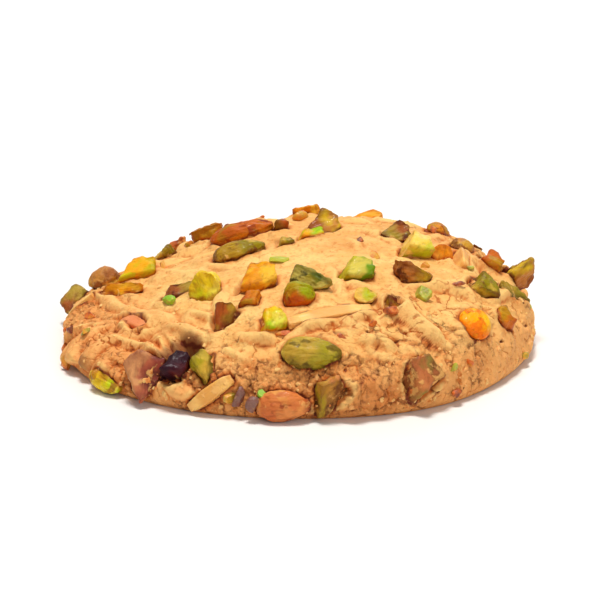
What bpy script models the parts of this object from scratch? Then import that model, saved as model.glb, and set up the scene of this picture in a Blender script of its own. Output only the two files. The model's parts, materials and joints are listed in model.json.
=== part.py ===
"""Pistachio and almond cookie: an uneven dome of baked dough, studded with chopped
pistachio kernels and almond slivers. Metres, +Z up, the flat base on Z = 0.

A place on the crust is given by its bearing, the compass angle round the cookie with 0 at
+X and -90 at the front, and its drop, from 0 at the top to 90 at the widest rim.
"""

import math
import random
from collections import namedtuple

import bmesh
import bpy
from mathutils import Matrix, Vector, noise

MM = 0.001

# The dough
MIDDLE = Vector((0.8, 0.4, 0)) * MM  # of the dome, so that dough and nuts are centred on the origin
RIM_RADIUS = 46.6 * MM  # at its widest
RIM_HEIGHT = 2.8 * MM  # of the widest ring above the base
FOOT_RADIUS = 45.0 * MM  # of the flat face that the cookie rests on
DOME_HEIGHT = 20.2 * MM
SHOULDER = 3.0  # the higher, the flatter the top and the steeper the wall
LEFT_SAG = 0.55  # share of the dome's height that is missing at the left rim
SAG_SPAN = (-0.1, 1.0)  # where the sag starts and ends, in rim radii left of the middle
OUTLINE_WAVES = ((2, 25, 0.012), (3, 70, 0.010), (5, 10, 0.007), (7, 50, 0.004))
LUMP_HEIGHT = 0.7 * MM
LUMP_SPACING = 13 * MM
SECTORS = 54  # faces round the cookie
DOME_RINGS = 11
FOOT_RINGS = 3
FOOT_DROP = 130  # the drop at which the undercut reaches the base
SLOPE_STEP = 1.5  # degrees to each side of a place that its slope is taken over

# The pieces in the dough
GAP = 0.3 * MM  # clearance between a piece and its pocket
KERNEL_TAPER = 0.2  # how much slimmer a kernel's tip is than its blunt end
KERNEL_KEEL = 0.14  # how much narrower a kernel is underneath
SLIVER_STEPS = 6
SLIVER_TAPER = 0.35
SLIVER_BOW = 0.07  # rise of a sliver's middle, as a share of its length
SEED = 13
BACK_BEARINGS = (12, 168)
BACK_DROPS = (36, 84)
BACK_NUTS = 11
BACK_NUT_SIZES = ((4.8, 9.5), (4.6, 6.4), (4.0, 5.6))  # length, width and thickness in mm
BACK_NUT_ROLL = 30
BACK_NUT_KINDS = ("half", "stub", "wedge", "chunk", "chunk", "whole")
BACK_SLIVERS = 4
BACK_SLIVER_SIZES = ((14, 19), (2.4, 2.8), (1.8, 2.2))
CROWDING = 0.5  # how near two scattered pieces may lie, in lengths of the two

# Planes that chop a kernel, as a normal and its distance from the middle, on a kernel
# that spans from -1 to 1 along each axis.
CHOPS = {
    "whole": (),
    "half": (((0, 0, 1), 0.05),),
    "stub": (((-1, 0.1, 0.25), 0.0),),
    "wedge": (((-1, 0.3, 0.2), 0.35), ((0.3, -0.6, 1), 0.2), ((1, 0.2, 0), 0.7)),
    "chunk": (
        ((-1, 0.2, 0.3), 0.4),
        ((1, 0.1, -0.2), 0.55),
        ((0.2, 0.2, 1), 0.4),
        ((0.2, -1, 0.1), 0.5),
    ),
}

# Colour, roughness
FINISHES = {
    "dough": ((0.86, 0.55, 0.31), 0.85),
    "almond": ((0.90, 0.68, 0.38), 0.6),
    "kernel_lime": ((0.42, 0.58, 0.05), 0.4),
    "kernel_yellow": ((0.62, 0.58, 0.12), 0.4),
    "kernel_olive": ((0.30, 0.32, 0.08), 0.45),
    "kernel_amber": ((0.72, 0.38, 0.04), 0.4),
    "skin_mauve": ((0.34, 0.18, 0.14), 0.6),
    "skin_brown": ((0.24, 0.09, 0.05), 0.6),
}

Piece = namedtuple("Piece", "kind slot bearing drop size turn roll pitch sunk")


def nut(kind, slot, at, size, turn=0, roll=0, pitch=0, sunk=0.42):
    """A kernel piece at (bearing, drop), with its length, width and thickness in mm. Its length
    points anticlockwise along the rim at turn 0 and uphill at 90. Roll is about its length,
    pitch lifts its tip, and sunk is the share of its thickness below the crust."""
    return Piece(kind, slot, *at, Vector(size) * MM, turn, roll, pitch, sunk)


def almond(at, size, turn=0, roll=0, pitch=0, sunk=0.35):
    return Piece("sliver", "almond", *at, Vector(size) * MM, turn, roll, pitch, sunk)


# The pieces on the side that is seen, from left to right
FRONT_PIECES = (
    nut("whole", "skin_mauve", (162, 53), (7.2, 6.2, 6.2), turn=175, sunk=0.3),
    nut("chunk", "kernel_yellow", (162, 38), (10.4, 6.6, 5.0), turn=88, roll=30, sunk=0.3),
    nut("half", "kernel_amber", (177, 40), (10.2, 4.0, 2.8), turn=70, roll=35, sunk=0.45),
    nut("chunk", "kernel_olive", (-159, 24), (9.4, 4.6, 3.6), turn=58, roll=35, sunk=0.4),
    nut("stub", "kernel_yellow", (-140, 20), (7.0, 6.4, 7.6), turn=130, sunk=0.35),
    nut("wedge", "skin_brown", (-117, 35), (6.8, 6.4, 7.0), turn=47, roll=20, sunk=0.5),
    nut("chunk", "kernel_amber", (-111, 26), (4.8, 4.6, 5.6), turn=3, roll=20),
    nut("chunk", "kernel_lime", (-99, 40), (5.8, 5.6, 5.0), turn=19, roll=20, sunk=0.4),
    nut("chunk", "kernel_amber", (-115, 15), (10.0, 8.2, 6.0), turn=14, roll=25, sunk=0.36),
    nut("whole", "skin_mauve", (163, 8), (11.2, 7.6, 5.4), turn=107, sunk=0.35),
    nut("whole", "skin_brown", (124, 18), (13.6, 6.4, 5.0), turn=147, sunk=0.35),
    nut("chunk", "skin_mauve", (103, 13), (3.6, 3.8, 4.0), turn=174, roll=10, sunk=0.3),
    nut("chunk", "kernel_lime", (77, 5), (5.6, 4.2, 3.8), turn=187, roll=25),
    nut("chunk", "kernel_olive", (125, 2), (3.6, 3.4, 3.4), turn=154, roll=15, sunk=0.35),
    nut("wedge", "skin_brown", (72, 11), (7.4, 6.0, 5.0), turn=192, roll=15, sunk=0.3),
    nut("whole", "kernel_olive", (-90, 28), (6.4, 5.9, 6.4), turn=10, roll=10, sunk=0.35),
    nut("half", "kernel_olive", (-86, 20), (9.2, 5.2, 4.0), turn=-43, roll=-60, sunk=0.3),
    nut("whole", "kernel_olive", (-87, 59), (11.7, 6.8, 5.3), turn=-7, sunk=0.4),
    nut("chunk", "kernel_lime", (-56, 16), (7.6, 6.2, 4.9), turn=-36, roll=30, sunk=0.3),
    nut("half", "skin_brown", (-37, 26), (7.6, 5.6, 4.2), turn=-79, roll=-35, sunk=0.3),
    nut("chunk", "kernel_yellow", (1, 20), (7.0, 6.8, 6.6), turn=-87, roll=25, sunk=0.3),
    nut("stub", "kernel_amber", (1, 28), (4.4, 4.4, 5.0), turn=-6, sunk=0.35),
    nut("wedge", "skin_brown", (26, 18), (5.6, 5.6, 5.0), turn=-130, roll=10, sunk=0.25),
    nut("chunk", "skin_brown", (24, 48), (3.0, 2.8, 3.4), turn=-118, sunk=0.35),
    nut("chunk", "kernel_amber", (6, 46), (6.0, 5.8, 5.6), turn=-109, roll=20, sunk=0.35),
    nut("chunk", "kernel_olive", (-18, 46), (7.0, 6.6, 5.4), turn=-66, roll=15, sunk=0.4),
    nut("stub", "skin_brown", (6, 60), (6.2, 5.8, 8.4), turn=-90, sunk=0.25),
    nut("half", "kernel_olive", (-7, 59), (8.2, 3.4, 3.0), turn=-60, roll=10, sunk=0.45),
    nut("whole", "kernel_amber", (-36, 58), (8.8, 6.9, 5.0), turn=15, sunk=0.4),
    nut("chunk", "skin_brown", (-24, 64), (4.8, 4.4, 4.8), turn=80, sunk=0.4),
    nut("wedge", "skin_brown", (-57, 36), (4.4, 4.0, 3.6), sunk=0.45),
    nut("half", "kernel_yellow", (-64, 29), (4.2, 4.0, 2.8), turn=-24, roll=15, sunk=0.4),
    nut("chunk", "skin_brown", (-123, 65), (6.3, 6.0, 7.4), turn=5, sunk=0.6),
    nut("wedge", "kernel_olive", (-115, 64), (6.0, 4.8, 6.0), turn=80, sunk=0.4),
    nut("wedge", "skin_mauve", (-131, 75), (9.6, 8.2, 6.2), turn=75, sunk=0.45),
    nut("whole", "kernel_lime", (-142, 94), (9.0, 4.0, 3.8), turn=-10, sunk=0.4),
    nut("whole", "skin_mauve", (-94, 88), (10.6, 6.2, 5.4), turn=3, sunk=0.45),
    nut("wedge", "kernel_olive", (-83, 82), (8.6, 6.4, 5.2), turn=30),
    nut("chunk", "skin_mauve", (-60, 76), (8.6, 7.4, 5.6), turn=20, sunk=0.55),
    almond((175, 65), (7.5, 2.4, 1.8), turn=90, pitch=15, sunk=0.15),
    almond((-152, 42), (9.6, 3.0, 2.0), turn=4),
    almond((-112, 82), (10.5, 2.8, 2.2), turn=40),
    almond((-80, 37), (17.5, 3.0, 2.2), turn=12, sunk=0.5),
    almond((1, 34), (10.0, 4.2, 1.8), turn=181, roll=65, sunk=0.2),
)


def smoothstep(low, high, value):
    share = min(max((value - low) / (high - low), 0.0), 1.0)
    return share * share * (3 - 2 * share)


def outline(bearing):
    """Widest radius in a direction, uneven as a spooned cookie's."""
    waves = 0
    for count, start, size in OUTLINE_WAVES:
        waves += size * math.cos(count * math.radians(bearing - start))
    return RIM_RADIUS * (1 + waves)


def crust(bearing, drop):
    """Point on the dough's skin. Past a drop of 90 it runs under the rim to the flat base."""
    angle = math.radians(bearing)
    widest = outline(bearing)
    if drop <= 90:
        radius = widest * math.sin(math.radians(drop)) ** (2 / SHOULDER)
        height = (DOME_HEIGHT - RIM_HEIGHT) * math.cos(math.radians(drop))
        height *= 1 - LEFT_SAG * smoothstep(*SAG_SPAN, -radius * math.cos(angle) / RIM_RADIUS)
        height += RIM_HEIGHT
    else:
        under = min((drop - 90) / (FOOT_DROP - 90), 1) * math.pi / 2
        undercut = widest * (1 - FOOT_RADIUS / RIM_RADIUS)
        radius = widest - undercut * (1 - math.cos(under))
        height = RIM_HEIGHT * (1 - math.sin(under))
    point = Vector((radius * math.cos(angle), radius * math.sin(angle), height))
    lump = LUMP_HEIGHT * noise.noise(point / LUMP_SPACING) * smoothstep(0, RIM_HEIGHT, height)
    outwards = Vector((point.x / RIM_RADIUS, point.y / RIM_RADIUS, 1)).normalized()
    return MIDDLE + point + lump * outwards


def crust_normal(bearing, drop):
    round_about = crust(bearing + SLOPE_STEP, drop) - crust(bearing - SLOPE_STEP, drop)
    downhill = crust(bearing, drop + SLOPE_STEP) - crust(bearing, drop - SLOPE_STEP)
    return downhill.cross(round_about).normalized()


def collection_named(name):
    collection = bpy.data.collections.new(name)
    bpy.context.scene.collection.children.link(collection)
    return collection


def finish_material(slot):
    """The Principled material of a slot, made on its first use."""
    if slot in bpy.data.materials:
        return bpy.data.materials[slot]
    colour, roughness = FINISHES[slot]
    material = bpy.data.materials.new(slot)
    material.use_nodes = True
    shader = material.node_tree.nodes["Principled BSDF"]
    shader.inputs["Base Color"].default_value = (*colour, 1)
    shader.inputs["Roughness"].default_value = roughness
    material.diffuse_color = (*colour, 1)
    return material


def object_from(bm, name, collection, slot=None, matrix=None):
    mesh = bpy.data.meshes.new(name)
    bm.to_mesh(mesh)
    bm.free()
    obj = bpy.data.objects.new(name, mesh)
    collection.objects.link(obj)
    if slot:
        mesh.shade_smooth()
        mesh.materials.append(finish_material(slot))
    if matrix:
        obj.matrix_world = matrix
    return obj


def dough_mesh():
    """A ball pulled into the cookie's shape, ring by ring."""
    rings = DOME_RINGS + FOOT_RINGS + 1
    bm = bmesh.new()
    bmesh.ops.create_uvsphere(bm, u_segments=SECTORS, v_segments=rings, radius=1)
    for vert in bm.verts:
        ring = round(math.acos(max(-1, min(1, vert.co.z))) / math.pi * rings)
        if ring == rings:
            vert.co = MIDDLE
            continue
        if ring <= DOME_RINGS:
            drop = 90 * ring / DOME_RINGS
        else:
            drop = 90 + (FOOT_DROP - 90) * (ring - DOME_RINGS) / FOOT_RINGS
        vert.co = crust(math.degrees(math.atan2(vert.co.y, vert.co.x)), drop)
    return bm


def chop(bm, normal, distance):
    """Slices a piece off and closes the cut with one flat face."""
    normal = Vector(normal).normalized()
    cut = bmesh.ops.bisect_plane(
        bm,
        geom=bm.verts[:] + bm.edges[:] + bm.faces[:],
        plane_co=normal * distance,
        plane_no=normal,
        clear_outer=True,
    )
    rim = [part for part in cut["geom_cut"] if isinstance(part, bmesh.types.BMEdge)]
    bmesh.ops.edgeloop_fill(bm, edges=rim)


def kernel_mesh(kind):
    """A kernel with a slim tip and a keel, chopped as its kind says."""
    bm = bmesh.new()
    bmesh.ops.create_icosphere(bm, subdivisions=2, radius=1)
    for vert in bm.verts:
        x, y, z = vert.co
        slim = 1 - KERNEL_TAPER * x
        vert.co = (x, y * slim * (1 + KERNEL_KEEL * z), z * slim)
    for normal, distance in CHOPS[kind]:
        chop(bm, normal, distance)
    bmesh.ops.recalc_face_normals(bm, faces=bm.faces)
    return bm


def sliver_mesh():
    """A bowed bar with slimmer ends."""
    bm = bmesh.new()
    bmesh.ops.create_cube(bm, size=2)
    lengthwise = [e for e in bm.edges if abs(e.verts[0].co.x - e.verts[1].co.x) > 1]
    bmesh.ops.subdivide_edges(bm, edges=lengthwise, cuts=SLIVER_STEPS - 1)
    for vert in bm.verts:
        x, y, z = vert.co
        slim = 1 - SLIVER_TAPER * x * x
        vert.co = (x, y * slim, z * slim - 4 * SLIVER_BOW * x * x)
    return bm


def sized(bm, size):
    """Fits a mesh into a box of this size round its own middle."""
    low = Vector(min(v.co[i] for v in bm.verts) for i in range(3))
    high = Vector(max(v.co[i] for v in bm.verts) for i in range(3))
    for vert in bm.verts:
        share = vert.co - (low + high) / 2
        vert.co = [share[i] * size[i] / (high - low)[i] for i in range(3)]
    return bm


def resting_place(piece):
    """World matrix of a piece pressed into the crust."""
    up = crust_normal(piece.bearing, piece.drop)
    angle = math.radians(piece.bearing)
    round_about = Vector((-math.sin(angle), math.cos(angle), 0))
    uphill = up.cross(round_about).normalized()
    middle = crust(piece.bearing, piece.drop) + up * piece.size.z * (0.5 - piece.sunk)
    on_crust = Matrix((uphill.cross(up), uphill, up)).transposed()
    turned = Matrix.Rotation(math.radians(piece.turn), 3, "Z")
    pitched = Matrix.Rotation(math.radians(-piece.pitch), 3, "Y")
    rolled = Matrix.Rotation(math.radians(piece.roll), 3, "X")
    return Matrix.Translation(middle) @ (on_crust @ turned @ pitched @ rolled).to_4x4()


def lies_clear(piece, other):
    apart = crust(piece.bearing, piece.drop) - crust(other.bearing, other.drop)
    return apart.length > CROWDING * (piece.size.x + other.size.x) + GAP


def back_pieces(placed):
    """The far side's pieces, scattered clear of those already placed."""
    rng = random.Random(SEED)
    slots = [slot for slot in FINISHES if slot.startswith(("kernel", "skin"))]
    scattered = []
    while len(scattered) < BACK_NUTS + BACK_SLIVERS:
        at = (rng.uniform(*BACK_BEARINGS), rng.uniform(*BACK_DROPS))
        turn = rng.uniform(0, 180)
        if len(scattered) < BACK_SLIVERS:
            size = [rng.uniform(*span) for span in BACK_SLIVER_SIZES]
            piece = almond(at, size, turn)
        else:
            size = [rng.uniform(*span) for span in BACK_NUT_SIZES]
            roll = rng.uniform(-BACK_NUT_ROLL, BACK_NUT_ROLL)
            piece = nut(rng.choice(BACK_NUT_KINDS), rng.choice(slots), at, size, turn, roll)
        if all(lies_clear(piece, other) for other in (*placed, *scattered)):
            scattered.append(piece)
    return scattered


def piece_object(piece, name, collection, pockets):
    """The piece, and the slightly larger cutter that makes its pocket in the dough."""
    matrix = resting_place(piece)
    shape = sliver_mesh() if piece.kind == "sliver" else kernel_mesh(piece.kind)
    roomy = sized(shape.copy(), piece.size + Vector((1, 1, 1)) * 2 * GAP)
    cutter = object_from(roomy, name + "_pocket", pockets, matrix=matrix)
    cutter.hide_render = True
    cutter.display_type = "WIRE"
    return object_from(sized(shape, piece.size), name, collection, piece.slot, matrix)


def main():
    for obj in list(bpy.data.objects):
        bpy.data.objects.remove(obj)
    cookie = collection_named("cookie")
    pockets = collection_named("cookie_pockets")
    pockets.hide_render = True

    pieces = [*FRONT_PIECES, *back_pieces(FRONT_PIECES)]
    nuts = [piece for piece in pieces if piece.kind != "sliver"]
    slivers = [piece for piece in pieces if piece.kind == "sliver"]
    for number, piece in enumerate(nuts, 1):
        piece_object(piece, f"pistachio_{number:02d}", cookie, pockets)
    for number, piece in enumerate(slivers, 1):
        piece_object(piece, f"almond_{number:02d}", cookie, pockets)

    dough = object_from(dough_mesh(), "dough", cookie, "dough")
    cut = dough.modifiers.new("pockets", "BOOLEAN")
    cut.operation = "DIFFERENCE"
    cut.operand_type = "COLLECTION"
    cut.collection = pockets
    cut.solver = "EXACT"


main()
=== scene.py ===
"""The looks of a pistachio and almond cookie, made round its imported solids.

Metres, +Z up, the flat base on Z = 0. A place on the crust is given by its bearing, the
compass angle round the cookie with 0 at +X and -90 at the front, and its drop, from 0 at the
top to 90 at the widest rim. Patterns are worked out in millimetres.
"""

import json
import math
import random
from collections import namedtuple
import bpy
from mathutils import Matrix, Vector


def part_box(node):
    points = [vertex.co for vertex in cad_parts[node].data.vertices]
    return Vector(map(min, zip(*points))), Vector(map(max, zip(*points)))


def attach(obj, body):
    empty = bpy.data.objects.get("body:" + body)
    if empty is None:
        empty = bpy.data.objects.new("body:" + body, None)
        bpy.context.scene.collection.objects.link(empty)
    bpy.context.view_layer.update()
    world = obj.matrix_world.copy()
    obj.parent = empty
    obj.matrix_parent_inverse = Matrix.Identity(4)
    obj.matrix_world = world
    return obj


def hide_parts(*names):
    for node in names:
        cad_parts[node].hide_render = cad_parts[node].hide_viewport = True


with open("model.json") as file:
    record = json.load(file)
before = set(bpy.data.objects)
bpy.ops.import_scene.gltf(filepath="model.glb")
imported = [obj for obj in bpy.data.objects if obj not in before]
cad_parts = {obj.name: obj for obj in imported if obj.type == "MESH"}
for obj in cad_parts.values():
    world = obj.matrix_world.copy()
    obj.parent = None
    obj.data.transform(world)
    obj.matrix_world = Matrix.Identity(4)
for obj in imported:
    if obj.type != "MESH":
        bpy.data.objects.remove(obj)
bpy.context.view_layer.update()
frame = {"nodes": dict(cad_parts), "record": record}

from types import SimpleNamespace

import bpy
import numpy as np
from bpy.props import FloatProperty, FloatVectorProperty, IntProperty, PointerProperty
from bpy.types import Operator, Panel, PropertyGroup
from mathutils import Matrix, Vector, noise
from mathutils.bvhtree import BVHTree

bl_info = {
    "name": "Pistachio and Almond Cookie",
    "version": (1, 0, 0),
    "blender": (4, 5, 0),
    "location": "3D View > Sidebar > Cookie",
    "description": "Bakes a cracked almond cookie studded with pistachios and slivered almonds",
    "category": "Add Mesh",
}

MM = 0.001
VIEW_ELEVATION = 18  # degrees, the photograph's

# The dough's form, the same as its solid's
MIDDLE = Vector((0.8, 0.4, 0)) * MM
RIM_RADIUS = 46.6 * MM
RIM_HEIGHT = 2.8 * MM
FOOT_RADIUS = 45.0 * MM
FOOT_DROP = 130  # where the skin reaches the base
DOME_HEIGHT = 20.2 * MM
SHOULDER = 3.0  # power of the rounded profile
LEFT_SAG = 0.55  # share of its height that the left side loses
SAG_SPAN = (-0.1, 1.0)  # where it does, in rim radii to the left
OUTLINE_WAVES = ((2, 25, 0.012), (3, 70, 0.010), (5, 10, 0.007), (7, 50, 0.004))  # count, start, size
LUMP_HEIGHT = 0.7 * MM
LUMP_SPACING = 13 * MM

# The skin of the dough
SKIN_CELLS = 310  # along each side of the square grid that is laid over the crust
PROFILE_STEPS = 3000  # from the top to the base, to measure the way down
FRAME_STEP = 1.5  # degrees to the points that give the crust's directions
REACH = 6.0  # mm above the skin from which a piece is looked for
FAR = 6.0  # mm from the nearest nut that counts as far
COAT = 0.12  # mm of dough over a baked-in sliver
RAGGED = 0.5  # mm by which the edges of the slivers wander
DRAPE = 0.8  # mm that the dough falls from one point of the skin to the next
SOFTENING = 3  # times that the dough is draped over the slivers, and then blurred
COLLAR_REACH = 1.6  # mm over which the dough's collar round a nut falls away
GAP_DEPTH = 0.8  # mm of the gaps between a nut and its collar
GAP_REACH = 0.4
CALM_DROPS = (46, 28)  # from the first to the second the crust becomes calm
PLATE = 10.5  # mm across the crust's large plates
SCALE = 3.4  # mm across its small ones
PORE = 1.9  # mm between pores
# Where the slivers are looked for round each point of the skin, in shares of a cell
SAMPLES = (
    (0.4, 0.1), (0.1, -0.4), (-0.4, -0.1), (-0.1, 0.4),
    (0.2, 0.3), (-0.3, 0.2), (-0.2, -0.3), (0.3, -0.2),
)

Spot = namedtuple("Spot", "bearing drop size turn roll pitch sunk")


def spot(at, size, turn=0, roll=0, pitch=0, sunk=0.2):
    """A piece at (bearing, drop), with its length, width and thickness in mm. Its length points
    anticlockwise along the rim at turn 0 and uphill at 90."""
    return Spot(*at, size, turn, roll, pitch, sunk)


# Slivers under a thin coat of dough on the side that is seen: place, size, turn and roll
BAKED_IN = (
    spot((-171, 40), (18, 3.0, 2.0), 21, -10),
    spot((-143, 38), (19, 4.2, 2.2), -9, -12),
    spot((-155, 41), (18, 1.7, 1.8), 9),
    spot((-149, 48), (9, 1.6, 1.8), -4),
    spot((-141, 46), (4, 1.6, 1.8), 63),
    spot((-146, 53), (9, 2.0, 2.2), 0, -15),
    spot((-133, 59), (13, 2.2, 2.8), -17, -15),
    spot((-134, 49), (9, 1.3, 1.7), -29),
    spot((-132, 46), (8, 1.3, 1.7), -29),
    spot((-159, 66), (10, 5.0, 2.4), 104),
    spot((-168, 58), (11, 2.6, 1.9), 70),
    spot((-163, 80), (9, 3.0, 1.6), 62),
    spot((-151, 67), (9, 4.0, 2.2), 74),
    spot((-129, 41), (13, 3.0, 2.4), -6, -10),
    spot((178, 50), (12, 3.0, 2.0), 27),
    spot((-128, 21), (13, 2.6, 2.4), -67, 20),
    spot((173, 22), (12, 2.4, 1.2), 39, -10),
    spot((-86, 44), (10, 2.2, 1.6), 23, 15),
    spot((-73, 39), (9, 2.0, 1.5), 4, 12),
    spot((-77, 44), (9, 1.8, 1.2), 0, 10),
    spot((-53, 42), (14, 3.4, 1.9), -74, -15),
    spot((-33, 37), (14, 3.2, 1.9), -53, 18),
    spot((-57, 39), (8, 2.6, 1.2), 25, -10),
    spot((-26, 51), (6, 2.0, 1.5), -55),
    spot((-69, 55), (7, 2.4, 1.8), -29, 15),
    spot((-68, 61), (7, 2.2, 1.6), -32, 15),
    spot((-61, 62), (4, 2.0, 1.4), -18, 15),
    spot((61, 22), (8, 2.4, 1.8), 175),
    spot((31, 15), (11, 2.8, 1.8), -171, -10),
    spot((127, 50), (6, 3.0, 2.4), 154),
    spot((-177, 11), (12, 2.4, 1.4), 39),
    spot((-69, 12), (20, 2.4, 1.4), -96, -15),
    spot((-60, 22), (7, 2.6, 1.4), -30),
    spot((-103, 47), (8, 2.4, 1.6), -11, 12),
    spot((-129, 33), (10, 2.0, 1.3), -12),
    spot((-50, 59), (5, 2.0, 1.2), -46),
    spot((-14, 55), (12, 2.0, 1.4), -5),
    spot((-107, 58), (7, 2.0, 1.5), -23, 15),
    spot((-120, 83), (6, 3.2, 2.2), -14, 20),
    spot((2, 39), (12, 6.0, 1.8)),
)
BAKED_IN_ELSEWHERE = 26
FAR_SIDE = {"bearings": (8, 164), "drops": (5, 84), "room": 0.38}
SLIVER_BENDS = (-0.3, 0.25, 0.1, -0.2, 0.35)  # in shares of a sliver's width

# Lumps and hollows of the dough itself: (bearing, drop), radius and height in mm
Lump = namedtuple("Lump", "bearing drop radius height")
LUMPS = (
    Lump(-160, 82, 5.0, 0.2),
    Lump(-165, 23, 2.8, -0.9),
    Lump(-77, 82, 3.4, 2.2),
    Lump(-70, 76, 3.2, 2.0),
    Lump(-56, 84, 4.5, 0.6),
    Lump(-143, 70, 3.0, 0.8),
    Lump(-124, 56, 3.8, -3.4),
    Lump(-123, 51, 2.4, -1.6),
    Lump(-134, 90, 3.2, -1.2),
    Lump(-66, 92, 2.2, -1.4),
    Lump(-64, 56, 2.6, -1.0),
    Lump(-108, 84, 2.6, -1.0),
    Lump(-152, 86, 2.6, -1.6),
    Lump(-140, 12, 5.0, 0.8),
    Lump(-20, 30, 6.0, 0.6),
)


def srgb(*channels):
    """A colour given as 0 to 255 display values, in Blender's linear values."""
    shares = [channel / 255 for channel in channels]
    return tuple(s / 12.92 if s < 0.04045 else ((s + 0.055) / 1.055) ** 2.4 for s in shares)


COLOURS = {
    "dough_cream": ("Palest crust", srgb(247, 200, 120)),
    "dough_peach": ("Crust", srgb(243, 184, 104)),
    "dough_tan": ("Crust low on the wall", srgb(243, 172, 98)),
    # the toast and crack tones also serve as painted shade under ridges, in hollows and round the nuts
    "dough_toast": ("Toasted crust", srgb(202, 98, 16)),
    "dough_crack": ("Inside a crack", srgb(112, 42, 14)),
    "almond_cream": ("Bare almond", srgb(248, 194, 104)),
    "almond_gold": ("Toasted almond", srgb(224, 142, 56)),
    "floor": ("Floor", srgb(240, 238, 234)),
}

ROUNDING = 3  # subdivisions of a nut's solid
CUT_CREASE = 0.5  # how sharp a kernel's cut edges stay
SLIVER_CREASE = 0.7  # and a sliver's long ones
CONTACT_REACH = 0.7  # mm over which a nut shows that it touches the dough
KERNEL_SHIFT = 37.0  # mm from one piece's grain to the next one's
SLIVER_SHIFT = 41.0
CHIP_SHIFT = 17.0
# Kernels: the tones between which they fade, a tone in blotches, the tone of the skin and of
#  their foot, where it is partly painted shade, the share of their sides that skin still covers,
#  and the share under a film of dough
Kernel = namedtuple("Kernel", "start end accent skin cover film")
KERNEL_TONES = {
    "mauve": ((242, 178, 80), (196, 130, 58), (210, 160, 48), (156, 92, 44), 0.22, 0.08),
    "sunrise": ((242, 168, 24), (156, 192, 4), (206, 204, 16), (196, 96, 16), 0.0, 0.05),
    "amber": ((244, 164, 12), (226, 134, 6), (240, 186, 44), (150, 60, 16), 0.1, 0.05),
    "dusky": ((158, 84, 34), (182, 150, 58), (156, 132, 36), (96, 36, 18), 0.1, 0.1),
    "yellow": ((246, 212, 30), (178, 204, 8), (246, 222, 84), (188, 122, 20), 0.0, 0.05),
    "brown": ((178, 84, 24), (140, 100, 24), (184, 142, 34), (104, 36, 16), 0.3, 0.05),
    "rust": ((200, 100, 22), (216, 134, 18), (184, 138, 22), (148, 56, 16), 0.18, 0.05),
    "lime": ((232, 192, 16), (150, 190, 2), (230, 216, 70), (216, 96, 16), 0.05, 0.05),
    "green": ((202, 184, 28), (106, 144, 4), (218, 194, 80), (118, 100, 12), 0.05, 0.05),
    "olive": ((196, 154, 36), (146, 128, 10), (220, 176, 70), (112, 58, 18), 0.2, 0.1),
    "pale": ((204, 160, 54), (166, 148, 30), (218, 184, 72), (112, 88, 20), 0.05, 0.06),
    "jade": ((162, 138, 40), (92, 104, 22), (200, 176, 80), (60, 56, 14), 0.1, 0.0),
    "ember": ((194, 90, 6), (152, 156, 8), (172, 160, 20), (188, 66, 8), 0.0, 0.0),
    "bruise": ((156, 82, 24), (214, 172, 30), (196, 124, 54), (92, 38, 14), 0.12, 0.0),
    "orange": ((230, 124, 14), (246, 156, 30), (246, 174, 56), (180, 70, 14), 0.0, 0.05),
    "plum": ((210, 146, 92), (152, 64, 44), (182, 92, 62), (124, 54, 40), 0.05, 0.1),
    "purple": ((54, 16, 30), (96, 24, 20), (42, 13, 24), (38, 10, 18), 0.2, 0.0),
    "sunny": ((244, 124, 2), (255, 196, 2), (252, 168, 2), (240, 112, 4), 0.0, 0.0),
    "blush": ((226, 140, 74), (244, 172, 84), (216, 114, 56), (168, 72, 34), 0.05, 0.12),
    "dusty": ((174, 144, 34), (222, 142, 80), (186, 128, 44), (118, 68, 28), 0.1, 0.12),
    "creamy": ((250, 204, 84), (186, 190, 26), (250, 204, 118), (198, 140, 40), 0.0, 0.2),
    "lumpy": ((200, 122, 66), (180, 100, 56), (132, 122, 50), (134, 78, 38), 0.05, 0.25),
}
KERNELS = {
    name: Kernel(*(srgb(*tone) for tone in row[:4]), *row[4:]) for name, row in KERNEL_TONES.items()
}
SMOOTH_KERNELS = ("sunny", "orange")
# From pistachio_01 on: the kernel, and the way it fades as seen from the front, where 0 is to
# the right and 90 up
KERNEL_OF_NODE = (
    ("mauve", 90), ("sunrise", -45), ("amber", -60), ("dusky", 0), ("yellow", -90),
    ("brown", 20), ("rust", 0), ("lime", -60), ("amber", 180), ("olive", 0),
    ("rust", -70), ("brown", 200), ("sunrise", 0), ("olive", 0), ("bruise", 0),
    ("ember", 75), ("jade", 30), ("pale", -30), ("green", 0), ("bruise", -10),
    ("creamy", -80), ("orange", 90), ("dusky", 200), ("brown", 0), ("rust", -70),
    ("olive", 60), ("bruise", 120), ("pale", -30), ("sunny", 70), ("rust", 180),
    ("brown", 90), ("creamy", 0), ("purple", -40), ("pale", 150), ("plum", 0),
    ("yellow", 0), ("blush", 90), ("dusty", 20), ("lumpy", 90), ("blush", 0),
    ("mauve", 90), ("orange", 90), ("olive", 0), ("rust", 0), ("amber", 90),
    ("rust", 40), ("amber", 0), ("mauve", 20), ("dusky", 90), ("olive", 120),
)


# Properties


def length_property(name, description, default):
    """A property for a length, whose default is given in mm."""
    return FloatProperty(name=name, description=description, default=default * MM, unit="LENGTH")


class CookieSizes(PropertyGroup):
    """Sizes of the relief and of the scattered bits"""

    crack_depth: length_property("Crack depth", "Depth of the widest cracks", 1.0)
    unevenness: length_property("Unevenness", "Height of the crust's small swells", 0.45)
    collar: length_property("Collar", "How far the dough climbs up a nut", 1.1)
    chips: IntProperty(name="Pistachio chips", description="Chopped bits of nut", default=30, min=0)
    crumbs: IntProperty(name="Crumbs", description="Loose crumbs of dough", default=520, min=0)
    seed: IntProperty(name="Seed", description="Starts the scatter of the small pieces", default=5)


class CookieColours(PropertyGroup):
    """Colours of the dough, the almonds and the floor"""

    __annotations__ = {
        key: FloatVectorProperty(
            name=label, description=f"Tone: {label.lower()}", default=tone, min=0, max=1, subtype="COLOR"
        )
        for key, (label, tone) in COLOURS.items()
    }


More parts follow.
